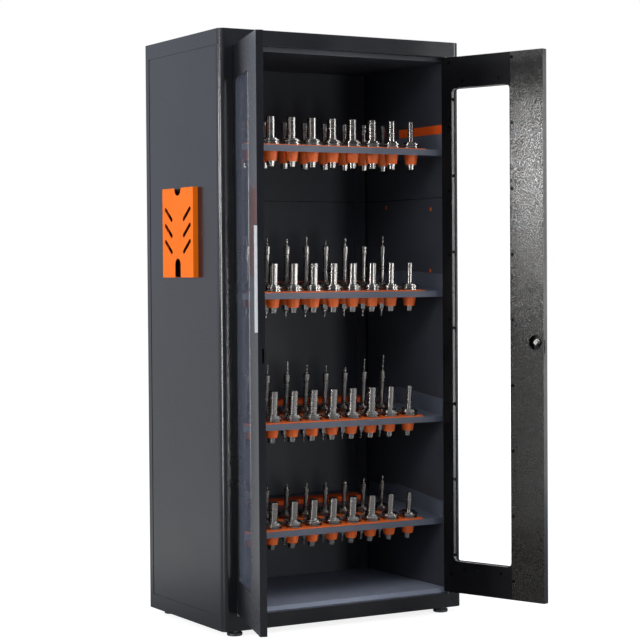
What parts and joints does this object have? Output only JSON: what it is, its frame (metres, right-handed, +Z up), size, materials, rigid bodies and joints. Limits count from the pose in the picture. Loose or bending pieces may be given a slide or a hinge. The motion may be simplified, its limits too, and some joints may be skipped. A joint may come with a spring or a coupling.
{
  "type": "tool cabinet",
  "caption": "Tall steel cabinet with two glazed hinged doors, sloping racks of steep-taper tool holders in orange sleeves, a side document pocket and levelling feet.",
  "frame": {"origin": "on the floor under the middle of the carcass", "axes": "+Z up, the front with its doors faces -Y, +X to the right seen from the front"},
  "size_m": [1.101, 0.933, 1.93],
  "materials": {
    "graphite_paint": "satin powder coat",
    "interior_paint": "satin powder coat",
    "textured_paint": "fine textured powder coat",
    "rack_grey_paint": "satin powder coat",
    "orange_paint": "satin powder coat",
    "orange_plastic": "matte moulded",
    "ground_steel": "ground and polished",
    "tool_steel": "ground",
    "zinc_plate": "zinc plated",
    "nickel_plate": "nickel plated",
    "key_nickel": "nickel plated",
    "foot_steel": "dark plated",
    "clear_glass": "clear",
    "black_rubber": "matte",
    "black_plastic": "satin",
    "anodised_aluminium": "brushed, anodised"
  },
  "bodies": {
    "carcass": {"roof_pan": "graphite_paint", "base_pan": "graphite_paint", "closing_plates": "interior_paint", "floor_tray": "interior_paint", "ceiling_tray": "interior_paint", "front_posts": "graphite_paint", "rear_posts": "graphite_paint", "right_side_panel": "graphite_paint", "left_side_panel": "graphite_paint", "back_panel": "graphite_paint", "inner_side_walls": "interior_paint", "rear_inner_wall": "interior_paint", "foot_nuts": "zinc_plate", "door_hinge_pins": "zinc_plate", "document_pocket": "orange_paint", "rack_1_tray": "rack_grey_paint", "rack_1_sleeves": "orange_plastic", "rack_1_tool_holders": "ground_steel", "rack_2_tray": "rack_grey_paint", "rack_2_sleeves": "orange_plastic", "rack_2_tool_holders": "ground_steel", "rack_3_tray": "rack_grey_paint", "rack_3_sleeves": "orange_plastic", "rack_3_tool_holders": "ground_steel", "rack_4_tray": "rack_grey_paint", "rack_4_sleeves": "orange_plastic", "rack_4_tool_holders": "ground_steel", "lift_out_sleeves": "orange_plastic", "rack_rear_rails": "orange_paint", "rack_cheeks": "interior_paint", "drills": "tool_steel", "rack_side_bars": "orange_paint", "wall_clips": "orange_plastic"},
    "left_door": {"left_door_shell": "graphite_paint", "left_door_inner_frame": "interior_paint", "left_door_lock_stile": "textured_paint", "left_door_glass": "clear_glass", "left_door_gasket": "black_rubber", "left_door_plugs": "black_plastic", "left_door_pull": "anodised_aluminium"},
    "right_door": {"right_door_shell": "graphite_paint", "right_door_inner_frame": "interior_paint", "right_door_lock_stile": "textured_paint", "right_door_glass": "clear_glass", "right_door_gasket": "black_rubber", "right_door_plugs": "black_plastic", "lock_barrel": "nickel_plate"},
    "lock_core": {"lock_core": "nickel_plate", "lock_cam": "zinc_plate", "lock_nut": "zinc_plate", "lock_key": "key_nickel"},
    "spare_key": {"spare_key": "key_nickel"},
    "front_left_foot": {"front_left_foot": "foot_steel"},
    "front_right_foot": {"front_right_foot": "foot_steel"},
    "rear_left_foot": {"rear_left_foot": "foot_steel"},
    "rear_right_foot": {"rear_right_foot": "foot_steel"},
    "rack_1_lift_out_holder": {"rack_1_lift_out_holder": "ground_steel"},
    "rack_2_lift_out_holder": {"rack_2_lift_out_holder": "ground_steel"},
    "rack_3_lift_out_holder": {"rack_3_lift_out_holder": "ground_steel"},
    "rack_4_lift_out_holder": {"rack_4_lift_out_holder": "ground_steel"}
  },
  "joints": [
    {"name": "left_door_hinge", "type": "hinge", "parent": "carcass", "child": "left_door", "pos_m": [-0.4015, -0.271, 0.964], "axis": [0, 0, 1], "range_deg": [0, 107.7]},
    {"name": "right_door_hinge", "type": "hinge", "parent": "carcass", "child": "right_door", "pos_m": [0.4015, -0.271, 0.964], "axis": [0, 0, 1], "range_deg": [-109.7, 0]},
    {"name": "lock_turn", "type": "hinge", "parent": "right_door", "child": "lock_core", "pos_m": [0.52948, -0.61658, 0.926], "axis": [-0.9415, -0.3371, 0], "range_deg": [0, 90]},
    {"name": "spare_key_swing", "type": "hinge", "parent": "lock_core", "child": "spare_key", "pos_m": [0.55472, -0.60755, 0.9236], "axis": [-0.3371, 0.9415, 0], "range_deg": [-80, 15]},
    {"name": "front_left_foot_turn", "type": "hinge", "parent": "carcass", "child": "front_left_foot", "pos_m": [-0.395, -0.232, 0], "axis": [0, 0, 1], "continuous": true},
    {"name": "front_right_foot_turn", "type": "hinge", "parent": "carcass", "child": "front_right_foot", "pos_m": [0.395, -0.232, 0], "axis": [0, 0, 1], "continuous": true},
    {"name": "rear_left_foot_turn", "type": "hinge", "parent": "carcass", "child": "rear_left_foot", "pos_m": [-0.395, 0.232, 0], "axis": [0, 0, 1], "continuous": true},
    {"name": "rear_right_foot_turn", "type": "hinge", "parent": "carcass", "child": "rear_right_foot", "pos_m": [0.395, 0.232, 0], "axis": [0, 0, 1], "continuous": true},
    {"name": "rack_1_holder_lift", "type": "slide", "parent": "carcass", "child": "rack_1_lift_out_holder", "axis": [0, 0, 1], "range_m": [0, 0.085]},
    {"name": "rack_2_holder_lift", "type": "slide", "parent": "carcass", "child": "rack_2_lift_out_holder", "axis": [0, -0.0523, 0.9986], "range_m": [0, 0.085]},
    {"name": "rack_3_holder_lift", "type": "slide", "parent": "carcass", "child": "rack_3_lift_out_holder", "axis": [0, -0.1045, 0.9945], "range_m": [0, 0.085]},
    {"name": "rack_4_holder_lift", "type": "slide", "parent": "carcass", "child": "rack_4_lift_out_holder", "axis": [0, -0.1132, 0.9936], "range_m": [0, 0.085]}
  ]
}
